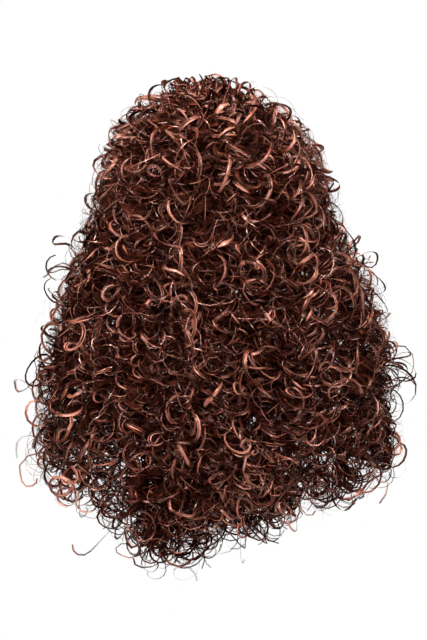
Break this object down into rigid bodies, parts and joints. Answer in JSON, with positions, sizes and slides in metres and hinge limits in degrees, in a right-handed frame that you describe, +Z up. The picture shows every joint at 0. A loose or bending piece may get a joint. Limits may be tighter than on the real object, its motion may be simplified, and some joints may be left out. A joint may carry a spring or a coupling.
{
  "type": "curly wig",
  "caption": "Long wig of loose ringlet locks on a close stretch cap, parted along the top, bell-shaped as worn, with a pointed hem at the back.",
  "frame": {"origin": "inside of the cap's crown, where it sits on the top of the head", "axes": "+Z up, the wearer faces -Y, the wearer's left is +X"},
  "size_m": [0.3951, 0.2606, 0.4918],
  "materials": {
    "cap_net": "dark brown elastic net with sewn weft tracks, matt",
    "hair_fibre": "glossy dark auburn synthetic hair with copper highlights, set in ringlets"
  },
  "bodies": {
    "root": {"cap": "cap_net", "left_nape_weft": "hair_fibre", "right_nape_weft": "hair_fibre", "left_side_weft": "hair_fibre", "right_side_weft": "hair_fibre", "left_back_weft": "hair_fibre", "right_back_weft": "hair_fibre", "left_crown_weft": "hair_fibre", "right_crown_weft": "hair_fibre"}
  },
  "joints": []
}
